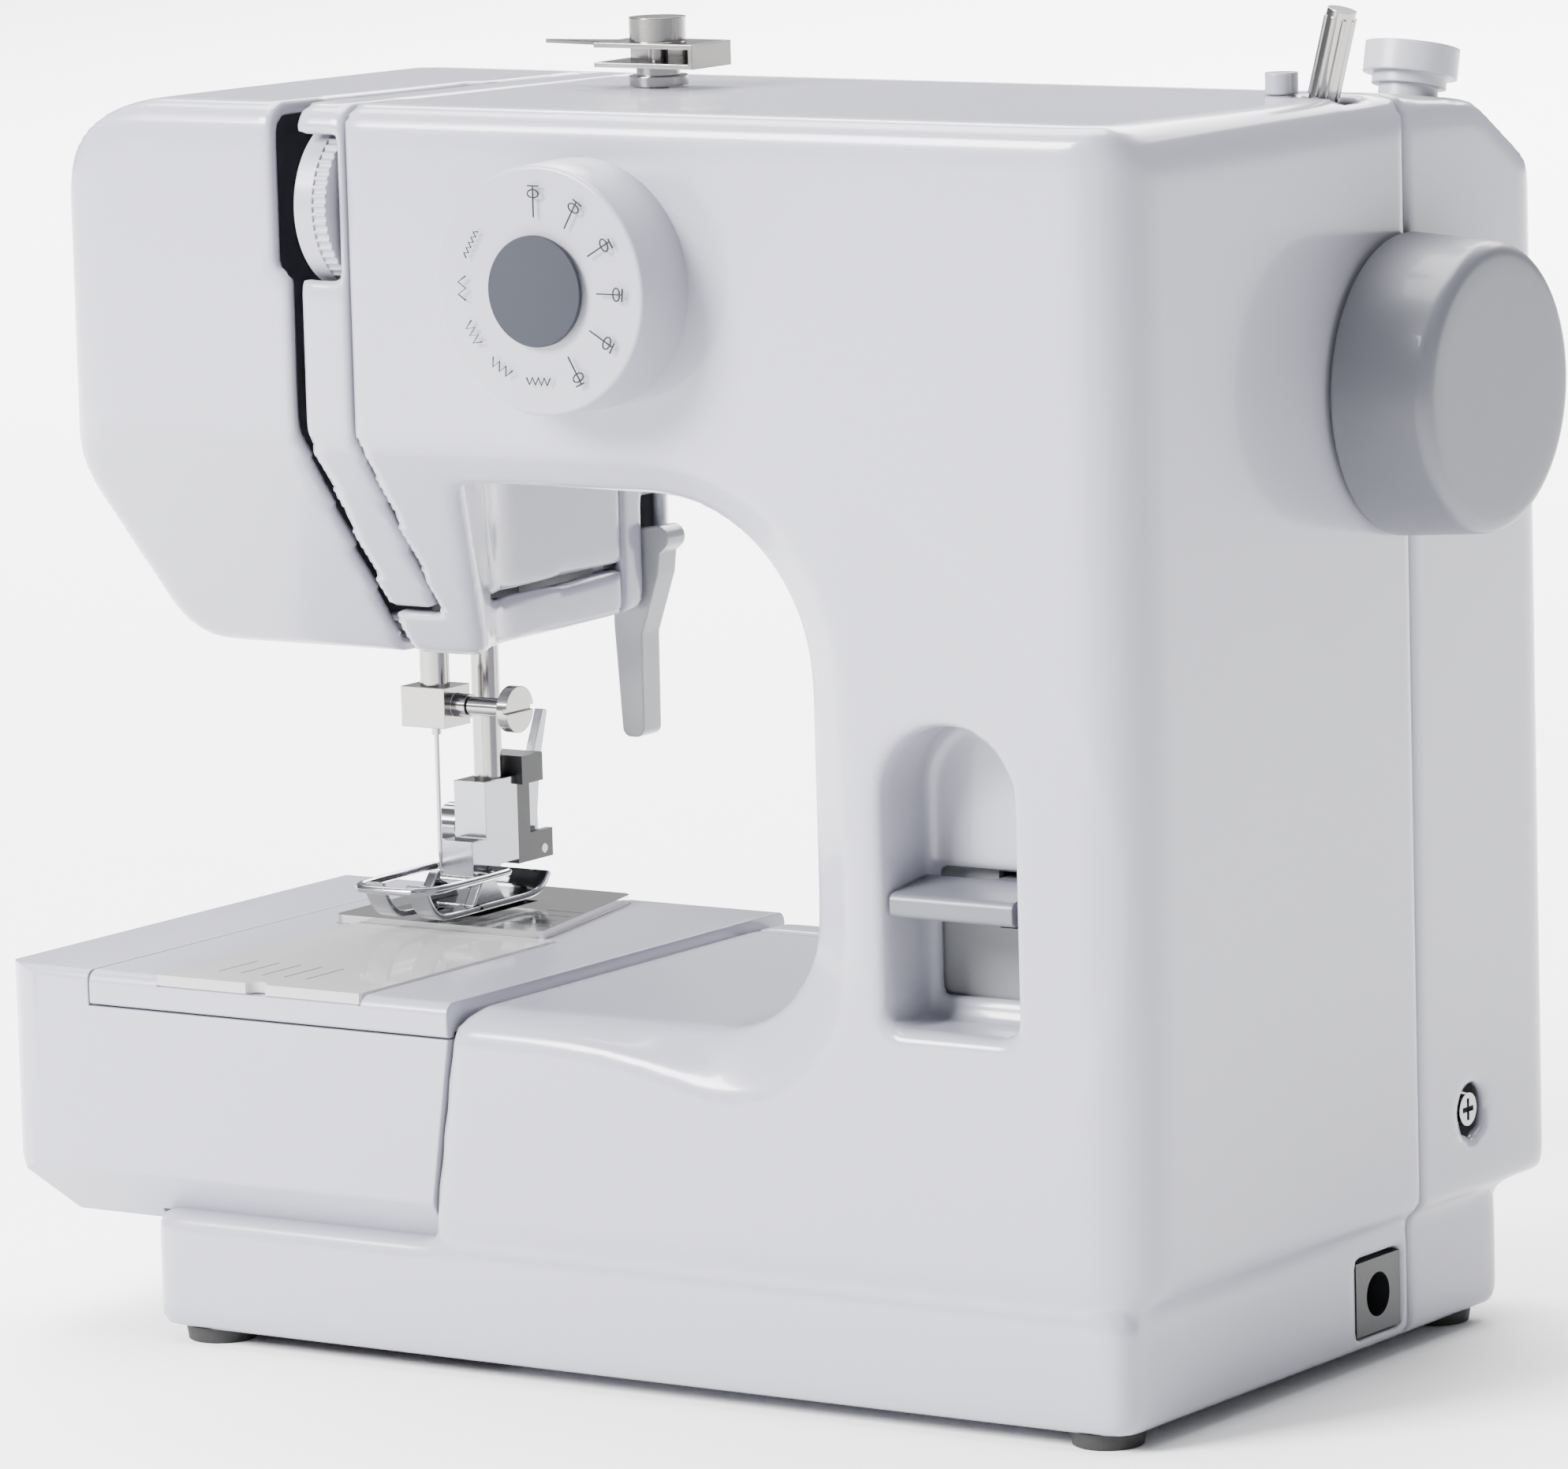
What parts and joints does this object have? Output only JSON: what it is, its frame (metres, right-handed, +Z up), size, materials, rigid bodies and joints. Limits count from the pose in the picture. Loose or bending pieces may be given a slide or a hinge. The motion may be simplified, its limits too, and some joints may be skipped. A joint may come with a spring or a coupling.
{
  "type": "sewing machine",
  "caption": "Compact household sewing machine with a C-shaped two-shell housing, storage tray bed, needle and presser mechanism, stitch dial and handwheel.",
  "frame": {"origin": "on the table under the middle of the overall box", "axes": "+X along the arm towards the handwheel, +Y towards the back, +Z up; the stitch dial faces -Y"},
  "size_m": [0.3, 0.18, 0.2713],
  "materials": {
    "shell": "gloss",
    "spool_plastic": "gloss",
    "dial": "gloss",
    "dial_cap": "satin",
    "rubber": "matte",
    "plate_steel": "brushed",
    "clear_cover": "gloss",
    "casting": "cast",
    "shaft_steel": "ground",
    "bush_brass": "turned",
    "grey_plastic": "satin",
    "black_plastic": "satin",
    "belt": "matte",
    "motor_case": "satin",
    "gear_plastic": "satin",
    "bobbin_plastic": "gloss",
    "bar_chrome": "polished",
    "needle_steel": "polished",
    "foot_chrome": "polished",
    "wire_chrome": "polished",
    "lever_metal": "satin",
    "window_plate": "satin",
    "lamp_cover": "satin",
    "screw_steel": "plated"
  },
  "bodies": {
    "housing": {"front_shell": "shell", "rear_shell": "shell", "face_cover": "shell", "tension_panel": "shell", "base_pan": "shell", "rubber_feet": "rubber", "free_arm": "shell", "bed_plate": "shell", "needle_plate": "plate_steel", "frame": "casting", "shaft_bushes": "bush_brass", "drive_belt": "belt", "timing_belt": "belt", "motor": "motor_case", "bobbin_case": "black_plastic", "bar_bracket": "casting", "tension_discs": "plate_steel", "reverse_window": "window_plate", "thread_guide": "bar_chrome", "winder_stop": "shell", "power_socket": "black_plastic", "lamp": "lamp_cover", "housing_screws": "screw_steel"},
    "main_drive": {"main_shaft": "shaft_steel", "handwheel": "grey_plastic", "belt_pulley": "black_plastic", "timing_pulley": "black_plastic", "crank_disc": "casting"},
    "motor_rotor": {"motor_pulley": "shaft_steel"},
    "lower_drive": {"lower_shaft": "shaft_steel"},
    "idler": {"idler_gear": "gear_plastic"},
    "hook_body": {"hook": "plate_steel"},
    "bobbin_body": {"bobbin": "bobbin_plastic"},
    "cams": {"cam_stack": "gear_plastic"},
    "feed_carrier": {"feed_bar": "casting"},
    "feed_teeth": {"feed_dog": "plate_steel"},
    "needle_group": {"needle_bar": "bar_chrome", "needle_clamp": "bar_chrome", "needle": "needle_steel", "connecting_link": "plate_steel"},
    "clamp_knob": {"clamp_screw": "bar_chrome"},
    "presser_group": {"presser_bar": "bar_chrome", "presser_spring": "shaft_steel", "foot_holder": "foot_chrome", "finger_guard": "wire_chrome", "foot_release": "black_plastic"},
    "foot_knob": {"foot_screw": "foot_chrome"},
    "foot": {"presser_foot": "foot_chrome"},
    "foot_release_lever": {"release_lever": "foot_chrome"},
    "lifter": {"lifter_lever": "lever_metal"},
    "take_up": {"take_up_lever": "plate_steel"},
    "tension_dial": {"tension_wheel": "dial"},
    "stitch_dial": {"pattern_dial": "dial", "dial_cap": "dial_cap"},
    "reverse": {"reverse_lever": "grey_plastic"},
    "winder_slide": {"winder_arm": "shell"},
    "winder_spin": {"winder_spindle": "bar_chrome"},
    "spool": {"spool_pin": "spool_plastic"},
    "tray": {"storage_tray": "shell"},
    "cover": {"bobbin_cover": "clear_cover"}
  },
  "joints": [
    {"name": "handwheel_spin", "type": "hinge", "parent": "housing", "child": "main_drive", "pos_m": [0, 0.031, 0.196], "axis": [1, 0, 0], "continuous": true},
    {"name": "motor_spin", "type": "hinge", "parent": "housing", "child": "motor_rotor", "pos_m": [0.108, -0.007, 0.06], "axis": [1, 0, 0], "continuous": true},
    {"name": "lower_shaft_spin", "type": "hinge", "parent": "housing", "child": "lower_drive", "pos_m": [0, 0.031, 0.05], "axis": [1, 0, 0], "continuous": true},
    {"name": "idler_spin", "type": "hinge", "parent": "housing", "child": "idler", "pos_m": [-0.09, 0.015, 0.05], "axis": [0, 0, 1], "continuous": true},
    {"name": "hook_spin", "type": "hinge", "parent": "housing", "child": "hook_body", "pos_m": [-0.09, -0.015, 0.05], "axis": [0, 0, 1], "continuous": true},
    {"name": "cam_spin", "type": "hinge", "parent": "housing", "child": "cams", "pos_m": [0.0043, 0.031, 0.2079], "axis": [0, 1, 0], "continuous": true},
    {"name": "bobbin_spin", "type": "hinge", "parent": "housing", "child": "bobbin_body", "pos_m": [-0.09, -0.015, 0.06], "axis": [0, 0, 1], "continuous": true},
    {"name": "feed_stroke", "type": "slide", "parent": "housing", "child": "feed_carrier", "axis": [0, 1, 0], "range_m": [-0.0012, 0.0012]},
    {"name": "feed_rise", "type": "slide", "parent": "feed_carrier", "child": "feed_teeth", "axis": [0, 0, 1], "range_m": [-0.0012, 0.0012]},
    {"name": "needle_bar_slide", "type": "slide", "parent": "housing", "child": "needle_group", "axis": [0, 0, 1], "range_m": [-0.024, 0]},
    {"name": "clamp_screw_turn", "type": "hinge", "parent": "needle_group", "child": "clamp_knob", "pos_m": [-0.07, 0.003, 0.123], "axis": [1, 0, 0], "range_deg": [-360, 0]},
    {"name": "lifter_hinge", "type": "hinge", "parent": "housing", "child": "lifter", "pos_m": [-0.0685, 0.047, 0.1505], "axis": [0, 1, 0], "range_deg": [-65, 0]},
    {"name": "presser_slide", "type": "slide", "parent": "housing", "child": "presser_group", "axis": [0, 0, 1], "range_m": [0, 0.0065], "deforming": ["presser_spring"]},
    {"name": "foot_screw_turn", "type": "hinge", "parent": "presser_group", "child": "foot_knob", "pos_m": [-0.098, 0.021, 0.0944], "axis": [1, 0, 0], "range_deg": [-360, 0]},
    {"name": "foot_tilt", "type": "hinge", "parent": "presser_group", "child": "foot", "pos_m": [-0.09, 0.01, 0.0844], "axis": [1, 0, 0], "range_deg": [-3, 3]},
    {"name": "release_lever_hinge", "type": "hinge", "parent": "presser_group", "child": "foot_release_lever", "pos_m": [-0.09, 0.035, 0.0879], "axis": [1, 0, 0], "range_deg": [0, 5], "stiffness_Nm_per_rad": 0.02, "springref_deg": -5.73},
    {"name": "take_up_swing", "type": "hinge", "parent": "housing", "child": "take_up", "pos_m": [-0.0676, -0.003, 0.212], "axis": [1, 0, 0], "range_deg": [-12, 22]},
    {"name": "tension_turn", "type": "hinge", "parent": "housing", "child": "tension_dial", "pos_m": [-0.0596, -0.0582, 0.2346], "axis": [1, 0, 0], "range_deg": [-150, 150]},
    {"name": "pattern_dial_turn", "type": "hinge", "parent": "housing", "child": "stitch_dial", "pos_m": [0.0043, -0.075, 0.222], "axis": [0, -1, 0], "continuous": true},
    {"name": "reverse_lever_press", "type": "hinge", "parent": "housing", "child": "reverse", "pos_m": [0.085, -0.031, 0.104], "axis": [1, 0, 0], "range_deg": [0, 8], "stiffness_Nm_per_rad": 0.15, "springref_deg": -8.59},
    {"name": "winder_shift", "type": "slide", "parent": "housing", "child": "winder_slide", "axis": [1, 0, 0], "range_m": [-0.0012, 0]},
    {"name": "winder_spindle_spin", "type": "hinge", "parent": "winder_slide", "child": "winder_spin", "pos_m": [0.1155, 0.02, 0.2459], "axis": [0.2588, 0, 0.9659], "continuous": true},
    {"name": "spool_pin_lift", "type": "slide", "parent": "housing", "child": "spool", "axis": [0, 0.2419, 0.9703], "range_m": [0, 0.018]},
    {"name": "tray_slide", "type": "slide", "parent": "housing", "child": "tray", "axis": [-1, 0, 0], "range_m": [0, 0.1]},
    {"name": "bobbin_cover_slide", "type": "slide", "parent": "housing", "child": "cover", "axis": [0, -1, 0], "range_m": [0, 0.05]}
  ],
  "couplings": [
    {"joint": "motor_spin", "follows": "handwheel_spin", "ratio": 2.75},
    {"joint": "lower_shaft_spin", "follows": "handwheel_spin", "ratio": 1},
    {"joint": "idler_spin", "follows": "handwheel_spin", "ratio": 1},
    {"joint": "hook_spin", "follows": "handwheel_spin", "ratio": -2},
    {"joint": "cam_spin", "follows": "handwheel_spin", "ratio": 0.055556},
    {"joint": "lifter_hinge", "follows": "presser_slide", "rad_per_m": -174.5}
  ]
}
